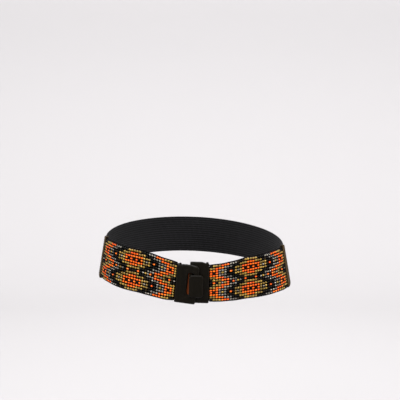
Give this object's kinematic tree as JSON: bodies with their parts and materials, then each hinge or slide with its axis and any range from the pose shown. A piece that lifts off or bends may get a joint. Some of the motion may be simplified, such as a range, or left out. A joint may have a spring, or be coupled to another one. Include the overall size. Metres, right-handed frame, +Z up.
{
  "type": "elastic beaded belt with a wooden hook buckle",
  "caption": "Elastic belt of glass seed beads in diamonds, with a dark wooden hook buckle and a plain elastic back.",
  "frame": {"origin": "middle of the opening that the waist goes through, level with the middle of the band at the hips", "axes": "+Z up, -Y the front with the buckle, +X the right as seen from the front"},
  "size_m": [0.3161, 0.2254, 0.1197],
  "materials": {
    "beads": "gloss",
    "dark_wood": "satin",
    "bare_wood": "matte",
    "leather": "satin",
    "elastic": "matte",
    "rod": "satin"
  },
  "bodies": {
    "root": {"back_elastic": "elastic", "bead_panel_left": "beads", "bead_panel_right": "beads", "buckle_hook_plate": "dark_wood", "buckle_ring": "dark_wood", "end_rod_left": "rod", "end_rod_right": "rod", "hook_tab": "dark_wood", "hook_tongue": "bare_wood", "side_strip_left": "leather", "side_strip_right": "leather", "strand_pin_left": "dark_wood", "strand_pin_right": "dark_wood"}
  },
  "joints": []
}
